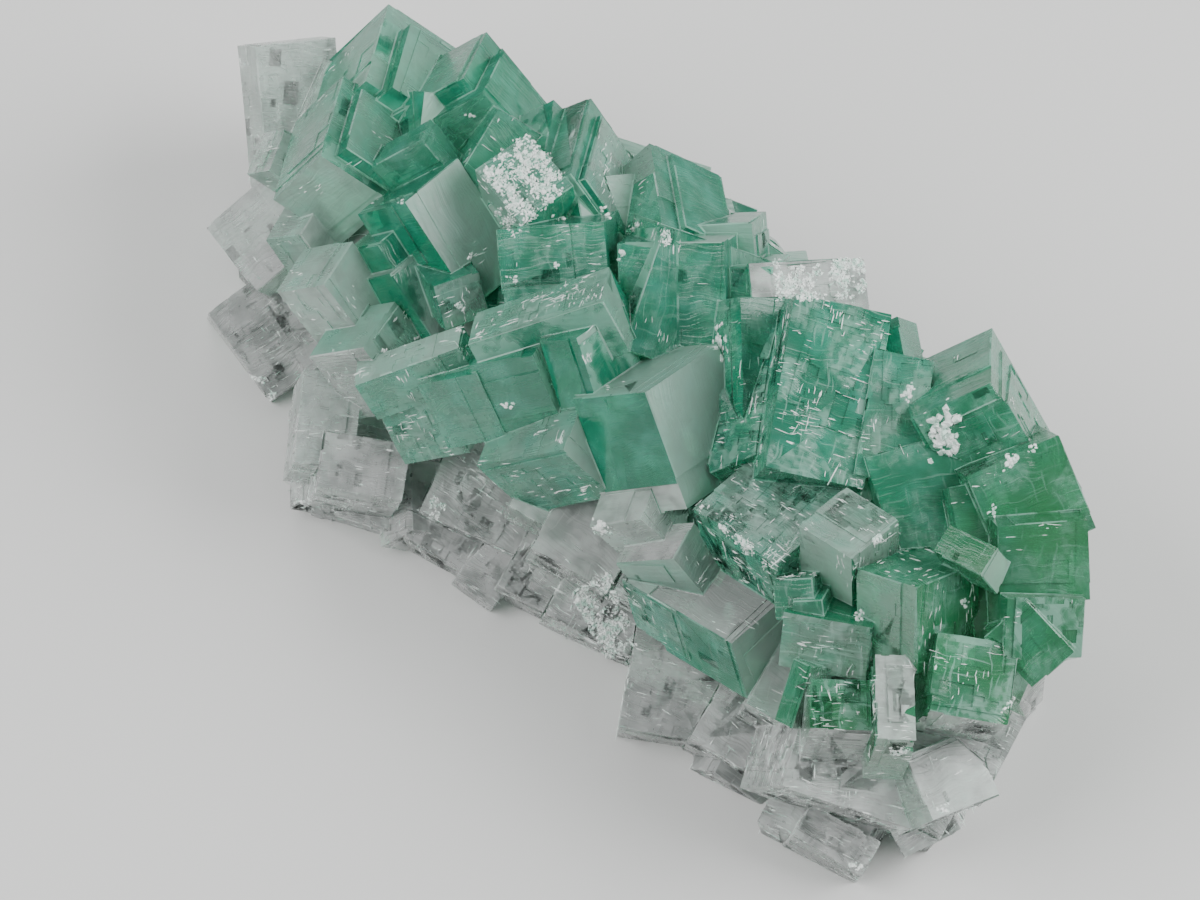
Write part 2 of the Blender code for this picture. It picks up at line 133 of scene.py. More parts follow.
# Looks of single faces: across and up of a place on one, then how satin it is with its painted sheen, how green
# and how broken it is.
FACES = (
    (-31.0, 37.0, 0.1, -0.8, 0.6), (-35.5, 35.0, 0.4, -0.6, 0.5), (-35.0, 23.0, 0.3, -0.6, 0.6),
    (-35.0, 12.5, 0.1, 0, 0.8), (-23.0, 40.0, 0.2, 0.95, 0.2), (-18.0, 38.5, 0.6, 0.8, 0.2),
    (-12.0, 38.5, 0.2, 1, 0.1), (-8.5, 36.0, 0.1, 1, 0.2), (-27.0, 33.0, 0.3, 0.75, 0.3),
    (-24.5, 31.0, 0.4, 0.7, 0.2), (-18.0, 29.3, 0.2, 0.9, 0.2), (-25.5, 27.5, 0.6, 0.5, 0.3),
    (-29.5, 22.5, 0.5, 0.5, 0.3), (-31.5, 20.0, 0.5, 0.6, 0.3), (-14.5, 22.0, 0.8, 0.9, 0.15),
    (-19.5, 21.5, 0, 1, 0), (-22.0, 20.5, 0, 0.95, 0.1), (-21.5, 18.5, 0, 0.95, 0.1),
    (-19.5, 14.0, 0, 1, 0.1), (-27.5, 17.0, 0.5, 0.5, 0.3), (-23.5, 13.5, 0.6, 0.7, 0.3),
    (-29.0, 12.5, 0.5, 0.3, 0.7), (-26.0, 7.3, 0.2, -0.5, 0.5), (-15.0, 14.5, 0.4, 0.6, 0.6),
    (-7.5, 27.5, 0.2, 0.7, 0.6), (-6.0, 20.0, 0.1, 0.9, 0.5), (-4.0, 16.0, 0.5, 0.75, 0.85),
    (-17.5, 9.5, 0.7, 0.6, 0.7), (-14.5, 5.0, 0.4, 0.8, 0.3), (-20.5, 4.0, 0.4, 0.75, 0.5),
    (-8.0, 6.5, 0.3, 0.95, 0), (-3.8, 8.0, 0, 1, 0), (0.6, 13.0, 0.9, 0.75, 0.1),
    (0.0, 9.8, 0.8, 0.7, 0.2), (6.0, 8.5, 0.7, 0.75, 0.2), (2.5, 1.0, 0, 1, 0),
    (8.0, 0.5, 0.8, 0.85, 0.15), (5.0, 17.0, 0.1, 0.95, 0.4), (9.5, 16.5, 0.1, 0.95, 0.4),
    (-1.0, 33.0, 0.2, 0.9, 0.1), (-4.5, 32.0, 0.3, 0.85, 0.1), (2.0, 28.5, 0.4, 0.6, 0.5),
    (6.3, 28.5, 0.3, 0.8, 0.3), (9.8, 27.5, 0.2, 0.95, 0.1), (13.5, 22.8, 0, 1, 0.3),
    (16.0, 23.0, 0, 1, 0.4), (22.5, 17.0, 0.3, 0.1, 0.7), (16.3, 10.0, 0.1, 0.85, 0.8),
    (20.5, 12.0, 0.1, 0.85, 0.9), (25.5, 6.0, 0.1, 0.85, 0.9), (29.0, 7.5, 0.2, 0.75, 0.7),
    (30.0, 12.0, 0.5, 0.7, 0.3), (14.0, 2.5, 0.1, 0.9, 0.9), (17.5, -5.0, 0.3, 0.65, 1),
    (24.0, -4.6, 0.5, 0.6, 0.9), (22.5, -11.0, 0.8, 0.65, 0.3), (31.0, -7.0, 0, 1, 0.4),
    (35.0, 4.0, 0, 1, 0.5), (38.5, 8.5, 0.1, 1, 0.3), (40.5, -8.5, 0.1, 0.95, 0.3),
    (37.8, -9.3, 0.05, 1, 0.6), (34.0, -16.5, 0, 1, 0.6), (37.0, -20.5, 0.1, 0.9, 0.8),
    (28.0, -12.8, 0.5, 0.7, 0.3), (23.0, -19.0, 0.4, 0.65, 1), (29.3, -22.5, 0.5, 0.3, 0.9),
    (24.0, -26.0, 0, 1, 0.8), (18.3, -25.0, 0, 1, 0.2), (15.5, -20.0, 1, 0.65, 0.1),
    (12.0, -21.0, 0, 0.85, 0.4), (8.0, -19.0, 0.1, 0.7, 0.6), (12.0, -14.5, 0, -0.9, 0.2),
    (5.0, -8.0, 0.3, 0.25, 0.3), (-5.0, -1.5, 0.3, 0.75, 0.4), (-14.0, -6.5, 0.4, 0.15, 0.8),
    (10.5, -25.5, 0.1, -0.4, 0.8), (17.5, -29.5, 0.2, 0, 0.9), (23.5, -29.5, 0.1, -0.5, 0.6),
    (34.0, -31.5, 0.5, 0.25, 0.4), (38.0, -28.5, 0.3, 0.05, 0.9), (43.0, -3.5, 0.1, 0.9, 0.4),
    (-24.0, -1.5, 0.2, -0.3, 0.5), (24.5, -33.5, 0.3, 0.05, 0.9), (-2.0, -9.5, 0.4, 0.1, 0.6),
    (38.0, 1.5, 0.1, 0.9, 0.6), (-28.0, 3.5, 0.2, -0.5, 0.6), (-0.5, -16.5, 0.3, 0, 1),
    (23.5, -39.0, 0.1, 0, 0.8), (14.0, -10.5, 0.1, 0.75, 0.8), (12.5, -28.0, 0.2, 0, 0.8),
    (-7.0, 1.0, 0.5, 0.7, 0.4), (-29.5, 31.0, 0.3, 0.7, 0.3), (-18.0, 1.0, 0.3, 0.7, 0.6),
    (45.0, -17.0, 0.1, 0.8, 0.5), (44.0, -20.0, 0, 0.95, 0.4), (15.5, 11.0, 0.2, 0.85, 0.5),
    (-25.0, 16.5, 0.6, 0.5, 0.2), (13.0, 10.0, 0.1, 0.85, 0.6), (31.0, -11.5, 0, 1, 0.4),
    (-7.0, -13.0, 0.3, 0.05, 0.8), (4.5, 26.0, 0.5, 0.6, 0.3), (17.5, 6.5, 0.1, 0.95, 0.5),
    (-11.5, -12.5, 0.2, 0, 0.8), (29.0, -31.0, 0.1, 0.5, 0.5), (-21.0, 40.5, 0.6, 0.7, 0.2),
    (-25.0, -5.5, 0.2, 0, 0.8), (-10.5, 31.0, 0.3, 0.85, 0.2), (-15.5, -9.5, 0.2, 0, 0.8),
    (9.5, -11.0, 0.9, 0.6, 0.6), (-13.5, 33.0, 0.3, 0.85, 0.3), (22.0, -35.5, 0.1, 0, 0.8),
    (42.0, 5.0, 0, 1, 0.5), (-15.0, 38.5, 0.4, 0.75, 0.2), (40.0, -29.5, 0.3, 0.05, 0.9),
    (-3.0, 31.5, 0.3, 0.85, 0.2), (6.0, -12.5, 0.8, 0.7, 0.5), (-20.5, 12.0, 0.5, 0.6, 0.4),
    (2.0, -5.5, 0.6, 0.25, 0.4), (5.5, -9.5, 0.2, -0.3, 0.3), (-18.5, 15.5, 0, 1, 0.1),
    (17.0, -24.0, 0.5, 0.4, 0.5), (17.5, 17.0, 0.3, 0.9, 0.3), (3.0, 18.5, 0.1, 0.95, 0.3),
    (5.0, 19.5, 0.3, 0.85, 0.5), (18.0, -36.5, 0.2, 0, 0.9), (31.5, -35.5, 0.2, 0.35, 0.4),
    (-18.0, -4.5, 0.9, 0.15, 0.8), (19.0, -14.0, 0.2, 0.8, 0.5), (41.0, 0.0, 0.2, 0.8, 0.5),
    (28.0, -9.5, 0.5, 0.6, 0.6), (-19.5, 26.0, 0.1, 0.9, 0.2), (-20.0, -6.5, 0.3, 0, 0.8),
    (-2.0, 0.0, 0.8, 0.6, 0.1), (32.0, -39.0, 0.2, 0, 0.9), (1.5, 14.0, 0.6, 0.7, 0.2),
    (22.0, -41.0, 0.1, -0.8, 0.9), (-4.0, -12.0, 0.2, 0, 0.9), (6.0, -6.5, 0.4, 0.3, 0.4),
)


# ---------------------------------------------------------------- settings


def colour(name, description, *default):
    """A colour setting."""
    return FloatVectorProperty(
        name=name, description=description, subtype="COLOR", size=4, min=0, max=1, default=(*default, 1.0)
    )


def length(name, description, most, default):
    """A length setting in metres."""
    return FloatProperty(
        name=name, description=description, subtype="DISTANCE", unit="LENGTH", min=0, max=most, default=default
    )


class CrystalSettings(bpy.types.PropertyGroup):
    """Sizes and colours of the crystals."""

    deep: colour("Deep green", "Body of the crystals away from the bed", 0.012, 0.27, 0.155)
    mint: colour("Mint", "Paler bands in the green", 0.05, 0.42, 0.28)
    # The satin colour is a painted sheen: the satin faces are painted pale for the light they reflect.
    satin: colour("Satin", "Pale skin of the satin faces", 0.64, 0.86, 0.76)
    veil: colour("Veil", "Frost and fine cracks in the green crystal", 0.40, 0.78, 0.62)
    clear: colour("Clear", "Colourless crystal near the bed", 0.93, 0.96, 0.94)
    smoke: colour("Smoke", "Greyer clouds in the colourless crystal", 0.50, 0.54, 0.52)
    olive: colour("Olive", "Yellower green at the long end", 0.045, 0.25, 0.085)
    edge_round: length("Edge rounding", "Width of the worn edges", 0.001, 0.00012)
    steps: IntProperty(name="Growth steps", description="Most ledges on one face", min=0, max=6, default=3)
    step_height: length("Step height", "Height of a growth ledge", 0.001, 0.00022)
    films: IntProperty(
        name="Inner cracks", description="Cracks sealed in the crystals, before those that don't fit go",
        min=0, max=1000, default=140,
    )
    film_size: length("Crack size", "Middle width of an inner crack", 0.02, 0.0030)
    pits: IntProperty(
        name="Pits", description="Etched pits and broken steps, before the smooth faces refuse theirs",
        min=0, max=20000, default=4100,
    )


class FlawSettings(bpy.types.PropertyGroup):
    """Sizes and colours of what is in and on the crystals."""

    grain: length("Sugar grain", "Middle size of a grain", 0.002, 0.00023)
    cracks: IntProperty(
        name="Bright cracks", description="Bunches of short bright cracks", min=0, max=3000, default=1500
    )
    white: colour("Bruise white", "Broken and bruised crystal", 0.88, 0.92, 0.89)


class StageSettings(bpy.types.PropertyGroup):
    """The floor and the light."""

    floor: colour("Floor", "Colour of the floor", 0.61, 0.61, 0.60)
    key: FloatProperty(name="Key light", description="Power of the large soft light", unit="POWER", default=6.0)
    fill: FloatProperty(name="Fill light", description="Power of the far soft light", unit="POWER", default=1.5)
    rim: FloatProperty(name="Rim light", description="Power of the rim's light", unit="POWER", default=5.0)


# ---------------------------------------------------------------- helpers


def settings(name):
    return getattr(bpy.context.scene, name)


def finished(obj, name):
    """Names a piece, keeps it inside the cast's box and lets it ride on the cluster."""
    obj.name = obj.data.name = name
    places = np.empty(len(obj.data.vertices) * 3)
    obj.data.vertices.foreach_get("co", places)
    low, high = CAST_BOX
    obj.data.vertices.foreach_set("co", np.clip(places.reshape(-1, 3), low, high).ravel())
    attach(obj, "root")
    return obj


def new_object(name, mesh):
    obj = bpy.data.objects.new(name, mesh)
    bpy.context.scene.collection.objects.link(obj)
    return obj


def evaluated_mesh(obj):
    bpy.context.view_layer.update()
    graph = bpy.context.evaluated_depsgraph_get()
    return bpy.data.meshes.new_from_object(obj.evaluated_get(graph))


def way_to(azimuth, elevation):
    """The direction from the cluster toward an eye or a lamp."""
    a, e = math.radians(azimuth), math.radians(elevation)
    return Vector((math.sin(a) * math.cos(e), -math.cos(a) * math.cos(e), math.sin(e)))


def look_axes():
    """Right, up and toward the eye, for the side the cluster is shown from."""
    a = math.radians(LOOK_AZIMUTH)
    right, back = Vector((math.cos(a), math.sin(a), 0.0)), way_to(LOOK_AZIMUTH, LOOK_ELEVATION)
    return right, back.cross(right), back


def turned(across, up, degrees):
    """A flat place turned about its middle."""
    c, n = math.cos(math.radians(degrees)), math.sin(math.radians(degrees))
    return across * c - up * n, across * n + up * c


def seen_on(skin, across, up):
    """The place, normal and face on the skin that lies across and up (mm) from the middle looked at."""
    right, upward, back = look_axes()
    eye = (LOOK_MIDDLE + back * SIGHT) * MM
    aim = (LOOK_MIDDLE + right * across + upward * up) * MM
    return skin.ray_cast(eye, (aim - eye).normalized())[:3]


def mesh_of(name, form):
    """The form as a mesh; the form is spent."""
    mesh = bpy.data.meshes.new(name)
    form.to_mesh(mesh)
    form.free()
    return mesh


def skin_tree(mesh):
    form = bmesh.new()
    form.from_mesh(mesh)
    tree = BVHTree.FromBMesh(form)
    form.free()
    return tree


# ---------------------------------------------------------------- the crystals' skin


def merged_cast():
    """A closed copy of the cast cluster with its flat faces whole."""
    form = bmesh.new()
    form.from_mesh(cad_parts[NODE].data)
    bmesh.ops.remove_doubles(form, verts=form.verts, dist=SAME_CORNER)
    bmesh.ops.dissolve_limit(
        form, angle_limit=SAME_FACE, verts=form.verts, edges=form.edges, use_dissolve_boundaries=False
    )
    mesh = mesh_of("merged_cast", form)
    if "custom_normal" in mesh.attributes:
        mesh.attributes.remove(mesh.attributes["custom_normal"])
    mesh.shade_flat()
    return mesh


def grain_of(face):
    """Two directions along the crystal's own edges in the plane of one of its faces."""
    normal = face.normal
    across = normal.orthogonal().normalized()
    along = normal.cross(across)
    total = 0j
    for edge in face.edges:
        way = edge.verts[1].co - edge.verts[0].co
        angle = math.atan2(way.dot(along), way.dot(across))
        total += way.length * complex(math.cos(4 * angle), math.sin(4 * angle))
    turn = math.atan2(total.imag, total.real) / 4
    first = across * math.cos(turn) + along * math.sin(turn)
    return first, normal.cross(first)


def is_bed(face):
    return face.normal.z < BED_FACING and face.calc_center_median().z < BED_HEIGHT


def ledge(face, way, strip, deep, spread):
    """A closed slab that takes a strip along one side of a face down by deep."""
    far = max(v.co.dot(way) for v in face.verts)
    cut = bmesh.new()
    cut.faces.new([cut.verts.new(v.co) for v in face.verts])
    at = way * (far - strip)
    everything = cut.verts[:] + cut.edges[:] + cut.faces[:]
    bmesh.ops.bisect_plane(cut, geom=everything, plane_co=at, plane_no=way, clear_inner=True, dist=1e-8)
    if not cut.faces or sum(f.calc_area() for f in cut.faces) < LEAST_LEDGE:
        cut.free()
        return None
    middle = sum((v.co for v in cut.verts), Vector()) / len(cut.verts)
    for v in cut.verts:
        v.co += (v.co - middle).normalized() * spread - face.normal * deep
    made = bmesh.ops.extrude_face_region(cut, geom=cut.faces[:])
    for v in made["geom"]:
        if isinstance(v, bmesh.types.BMVert):
            v.co += face.normal * (deep + spread)
    bmesh.ops.recalc_face_normals(cut, faces=cut.faces)
    return mesh_of("ledge", cut)


def pit(place, normal, first, long, wide, deep, lean):
    """A closed box sunk into a face: a small etched pit or a missing step."""
    second = normal.cross(first)
    box = bmesh.new()
    bmesh.ops.create_cube(box, size=1.0)
    for v in box.verts:
        across, along, up = v.co
        tip = deep * (1 + lean * across) if up < 0 else -0.05 * MM
        v.co = place + first * across * long + second * along * wide - normal * tip
    bmesh.ops.recalc_face_normals(box, faces=box.faces)
    return mesh_of("pit", box)


def any_way(rng):
    """A seeded direction."""
    return Vector(rng.normal(0, 1, 3)).normalized()


def place_on(face, rng):
    """A seeded place on a face, found on one of its triangles."""
    anchor = face.verts[0].co
    fan = [(a.co, b.co) for a, b in zip(face.verts[1:-1], face.verts[2:])]
    sizes = np.array([(a - anchor).cross(b - anchor).length for a, b in fan]) + 1e-12
    a, b = fan[int(rng.choice(len(fan), p=sizes / sizes.sum()))]
    s, t = sorted(rng.uniform(0, 1, 2))
    return anchor * float(s) + a * float(t - s) + b * float(1 - t)


class Batches:
    """Closed slabs and boxes in batches that don't touch one another, so each batch can be cut at once."""

    def __init__(self):
        self.held = []

    def take(self, mesh):
        co = np.array([v.co for v in mesh.vertices])
        low, high = co.min(axis=0) - 1e-5, co.max(axis=0) + 1e-5
        for batch in self.held:
            lows, highs = np.array(batch["low"]), np.array(batch["high"])
            if not ((low < highs).all(axis=1) & (high > lows).all(axis=1)).any():
                break
        else:
            batch = {"low": [], "high": [], "meshes": []}
            self.held.append(batch)
        batch["low"].append(low)
        batch["high"].append(high)
        batch["meshes"].append(mesh)

    def cut_from(self, target):
        for batch in self.held:
            form = bmesh.new()
            for mesh in batch["meshes"]:
                form.from_mesh(mesh)
            cutter = new_object("cutter", mesh_of("cutter", form))
            cut = target.modifiers.new("cut", "BOOLEAN")
            cut.operation, cut.solver, cut.object = "DIFFERENCE", "MANIFOLD", cutter
            target.data = evaluated_mesh(target)
            target.modifiers.clear()
            bpy.data.objects.remove(cutter)


def rough_at(place):
    """How broken the skin is at a place, 0 to 1: most along the clear rim and over the long end's front."""
    right, upward, back = look_axes()
    away = place / MM - LOOK_MIDDLE
    across, up = away.dot(right), away.dot(upward)
    worst = LEAST_ROUGH
    for x, y, wide, tall, turn, much in ROUGH:
        along, aside = turned(across - x, up - y, -turn)
        reach = (along / wide) ** 2 + (aside / tall) ** 2
        worst = max(worst, much * min(1.0, max(0.0, 2.2 - 1.4 * reach)))
    return worst


def face_plan(mesh):
    """The mesh's faces to look things up on, and the looks that FACES gives them."""
    plain = bmesh.new()
    plain.from_mesh(mesh)
    plain.faces.ensure_lookup_table()
    return plain, named_faces(plain)


def named_faces(plain):
    """The looks that FACES gives to single faces, by the face's number."""
    tree = BVHTree.FromBMesh(plain)
    named = {}
    for across, up, *looks in FACES:
        named.setdefault(seen_on(tree, across, up)[2], looks)
    return named


def broken_at(face, place, named):
    """How broken a face is at a place on it."""
    return named[face.index][2] if face.index in named else rough_at(place)


def likely_faces(plain, named, least, weigh):
    """The faces larger than least and off the bed, and how likely each is, by its area and how broken it is."""
    faces = [f for f in plain.faces if f.calc_area() > least and not is_bed(f)]
    weight = np.array([f.calc_area() * weigh(broken_at(f, f.calc_center_median(), named)) for f in faces])
    return faces, weight / weight.sum()


def cut_ledges(target, plain, most, height):
    """Cuts the wide growth ledges into the big faces."""
    rng = np.random.default_rng(SEED)
    batches = Batches()
    for face in plain.faces:
        area = face.calc_area() / MM**2
        if area < LEDGE_FACE or is_bed(face):
            continue
        first, second = grain_of(face)
        for _ in range(int(rng.integers(1, most + 1)) if area > WIDE_FACE else 1):
            way = (first, second)[int(rng.integers(2))] * float(rng.choice((-1, 1)))
            reach = [v.co.dot(way) for v in face.verts]
            strip = float(rng.uniform(0.06, 0.42)) ** 1.2 * (max(reach) - min(reach))
            slab = ledge(face, way, strip, height * float(rng.uniform(0.35, 1.0)), 0.05 * MM)
            if slab:
                batches.take(slab)
    batches.cut_from(target)


def cut_pits(target, plain, named, pits):
    """Etches small square-cornered pits and broken steps into the faces."""
    rng = np.random.default_rng(SEED + 7)
    faces, share = likely_faces(plain, named, PIT_FACE, lambda much: 0.06 + much**1.5)
    grain = {f.index: grain_of(f) for f in faces}
    batches = Batches()
    for _ in range(pits):
        face = faces[int(rng.choice(len(faces), p=share))]
        place = place_on(face, rng)
        much = broken_at(face, place, named)
        if rng.uniform() > 0.08 + much:
            continue
        first = grain[face.index][int(rng.integers(2))]
        long = float(rng.lognormal(0.45, 0.5)) * MM
        wide = long * float(rng.uniform(0.25, 0.9))
        deep = (0.04 + 0.15 * much * float(rng.uniform(0.2, 1.0))) * MM
        batches.take(pit(place, face.normal, first, long, wide, deep, float(rng.uniform(-0.8, 0.8))))
    batches.cut_from(target)


def worn(target, width):
    """Rounds the edges a little, without letting a corner stray from the skin."""
    skin = skin_tree(target.data)
    bevel = target.modifiers.new("worn", "BEVEL")
    bevel.width, bevel.segments = width, 1
    bevel.limit_method, bevel.angle_limit = "ANGLE", WORN_TURN
    bevel.use_clamp_overlap = False
    target.data = evaluated_mesh(target)
    target.modifiers.clear()
    for v in target.data.vertices:
        place, _, _, away = skin.find_nearest(v.co)
        if away > STRAY * width:
            v.co = place
        v.co.z = max(v.co.z, 0.0)


def face_notes(mesh, plain, named):
    """Writes each face's plane map and its looks: satin with its painted sheen, worn edge, growth lot, own tone
    and how broken.
    """
    rng = np.random.default_rng(SEED + 1)
    tree = BVHTree.FromBMesh(plain)
    notes = []
    for face in plain.faces:
        # The faces that look right and up, toward the light, get a satin skin with a painted sheen, and a few
        # others with them.
        side = max(face.normal.dot(SATIN_AND_SHEEN_SIDE), face.normal.dot(SATIN_AND_SHEEN_TOP) - 0.06, rng.uniform(0.2, 0.98))
        satin = min(1.0, max(0.0, (side - 0.86) * 11.0)) * rng.uniform(0.65, 1.0)
        shift = (rng.uniform(0, 50), rng.uniform(0, 50))
        notes.append((face.normal.copy(), *grain_of(face), shift, satin, rng.uniform(0, 1)))
    form = bmesh.new()
    form.from_mesh(mesh)
    plane = form.loops.layers.uv.new("face_plane")
    for label in NOTES:
        form.faces.layers.float.new(label)
    layers = [form.faces.layers.float[label] for label in NOTES]
    for face in form.faces:
        _, _, nearest, _ = tree.find_nearest(face.calc_center_median())
        normal, first, second, (a, b), satin, lot = notes[nearest]
        facing = face.normal.dot(normal)
        axes = [first, second, normal]
        if facing < 0.6:
            axes.remove(max(axes, key=lambda way: abs(face.normal.dot(way))))
        for loop in face.loops:
            co = loop.vert.co
            loop[plane].uv = (co.dot(axes[0]) / MM + a, co.dot(axes[1]) / MM + b)
        tone, broken = 0.0, rough_at(face.calc_center_median())
        if nearest in named:
            satin, tone, broken = named[nearest]
        values = (satin, lot, float(facing < EDGE_FACING), float(nearest in named), tone, broken)
        for layer, value in zip(layers, values):
            face[layer] = value
        face.material_index = 1 if is_bed(face) else 0
    form.to_mesh(mesh)
    form.free()


# ---------------------------------------------------------------- finishes


def new_group(name, inputs, outputs):
    """A shader node group with named sockets: inputs are (name, kind, default), outputs (name, kind)."""
    tree = bpy.data.node_groups.new(name, "ShaderNodeTree")
    for label, kind, default in inputs:
        socket = tree.interface.new_socket(label, in_out="INPUT", socket_type=kind)
        if default is not None:
            socket.default_value = default
    for label, kind in outputs:
        tree.interface.new_socket(label, in_out="OUTPUT", socket_type=kind)
    start, end = tree.nodes.new("NodeGroupInput"), tree.nodes.new("NodeGroupOutput")
    return tree, start, end


class Wires:
    """Short ways to add and link nodes in one tree."""

    def __init__(self, tree):
        self.tree = tree

    def add(self, kind, values=None, **fields):
        node = self.tree.nodes.new(kind)
        for field, value in fields.items():
            setattr(node, field, value)
        for socket, value in (values or {}).items():
            self.put(node.inputs[socket], value)
        return node

    def put(self, socket, value):
        if isinstance(value, bpy.types.NodeSocket):
            self.tree.links.new(value, socket)
        else:
            socket.default_value = value

    def math(self, how, *values, clamp=False):
        node = self.tree.nodes.new("ShaderNodeMath")
        node.operation, node.use_clamp = how, clamp
        for socket, value in zip(node.inputs, values):
            self.put(socket, value)
        return node.outputs[0]

    def times(self, first, *others):
        for other in others:
            first = self.math("MULTIPLY", first, other)
        return first

    def plus(self, first, *others):
        for other in others:
            first = self.math("ADD", first, other)
        return first

    def rest(self, value):
        return self.math("SUBTRACT", 1.0, value)

    def scaled(self, vector, scale):
        return self.add("ShaderNodeVectorMath", {0: vector, "Scale": scale}, operation="SCALE").outputs[0]

    def ramp(self, value, low, high, to_low=0.0, to_high=1.0):
        node = self.tree.nodes.new("ShaderNodeMapRange")
        node.interpolation_type = "SMOOTHSTEP"
        for socket, given in zip(node.inputs[:5], (value, low, high, to_low, to_high)):
            self.put(socket, given)
        return node.outputs[0]

    def mix(self, share, first, second, how="MIX"):
        node = self.tree.nodes.new("ShaderNodeMix")
        node.data_type, node.blend_type = "RGBA", how
        self.put(node.inputs["Factor"], share)
        self.put(node.inputs["A"], first)
        self.put(node.inputs["B"], second)
        return node.outputs["Result"]

    def noise(self, vector, scale, detail=3.0, rough=0.55):
        values = {"Vector": vector, "Scale": scale, "Detail": detail, "Roughness": rough}
        return self.add("ShaderNodeTexNoise", values).outputs["Fac"]


def new_finish(name):
    """A new material, the wires of its tree and its shader."""
    made = bpy.data.materials.new(name)
    made.use_nodes = True
    return made, Wires(made.node_tree), made.node_tree.nodes["Principled BSDF"]


def growth_relief():
    """Group: growth blocks, hairlines, cleavage streaks and frosty patches, from the face's own plane."""
    tree, start, end = new_group(
        "growth_relief",
        [("Plane", "NodeSocketVector", None), ("Coarse", "NodeSocketFloat", 0.25),
         ("Fine", "NodeSocketFloat", 1.5)],
        [(label, "NodeSocketFloat") for label in ("Height", "Hairlines", "Streaks", "Frost")],
    )
    w = Wires(tree)
    plane = start.outputs["Plane"]
    wobble = w.noise(plane, 0.22, 1.0, 0.6)
    shove = w.add("ShaderNodeCombineXYZ", {0: w.times(wobble, 2.6), 1: w.times(wobble, -2.0)})
    place = w.add("ShaderNodeVectorMath", {0: plane, 1: shove.outputs[0]}, operation="ADD").outputs[0]
    shades = []
    for size in ("Coarse", "Fine"):
        values = {"Vector": place, "Scale": start.outputs[size]}
        net = w.add("ShaderNodeTexVoronoi", values, distance="CHEBYCHEV")
        net.voronoi_dimensions = "2D"
        shades.append(w.add("ShaderNodeSeparateColor", {0: net.outputs["Color"]}).outputs[0])
    blocks, chips = shades
    lines, cross = (
        w.noise(w.add("ShaderNodeMapping", {"Vector": place, "Scale": stretch}).outputs[0], 1.0, detail, 0.62)
        for stretch, detail in (((0.13, 3.1, 1.0), 2.0), ((2.3, 0.20, 1.0), 1.0))
    )
    chipped = w.times(chips, w.ramp(wobble, 0.4, 0.6), 0.4)
    w.put(end.inputs["Height"], w.plus(w.times(blocks, 0.6), chipped, w.times(lines, 0.45)))
    w.put(end.inputs["Hairlines"], lines)
    w.put(end.inputs["Streaks"], w.math("MAXIMUM", w.ramp(lines, 0.60, 0.68), w.ramp(cross, 0.61, 0.69)))
    w.put(end.inputs["Frost"], w.ramp(w.math("MULTIPLY_ADD", blocks, 0.12, wobble), 0.46, 0.66))
    return tree


def growth_zones():
    """Group: how green the crystal is at a place, from colourless at the bed to deep green at the crown."""
    tree, start, end = new_group(
        "growth_zones",
        [("Place", "NodeSocketVector", None), ("Lot", "NodeSocketFloat", 0.5)],
        [("Green", "NodeSocketFloat"), ("Olive", "NodeSocketFloat"), ("Cloud", "NodeSocketFloat")],
    )
    w = Wires(tree)
    mm = w.scaled(start.outputs["Place"], 1000.0)
    x, y, z = w.add("ShaderNodeSeparateXYZ", {0: mm}).outputs[:3]
    soft = w.noise(mm, 0.07, 1.0)
    rise = w.plus(
        w.math("MULTIPLY_ADD", y, 0.34, z),
        w.times(w.math("MAXIMUM", w.times(x, -1.0), 20.0), -0.22),
        w.math("MULTIPLY_ADD", soft, 18.0, -9.0),
        w.math("MULTIPLY_ADD", start.outputs["Lot"], 5.0, -2.5),
    )
    w.put(end.inputs["Green"], w.ramp(rise, 3.0, 19.0))
    w.put(end.inputs["Olive"], w.times(w.ramp(x, 24.0, 50.0), w.ramp(soft, 0.3, 0.7, 0.5, 1.0)))
    w.put(end.inputs["Cloud"], w.noise(mm, 0.32, 2.0, 0.62))
    return tree


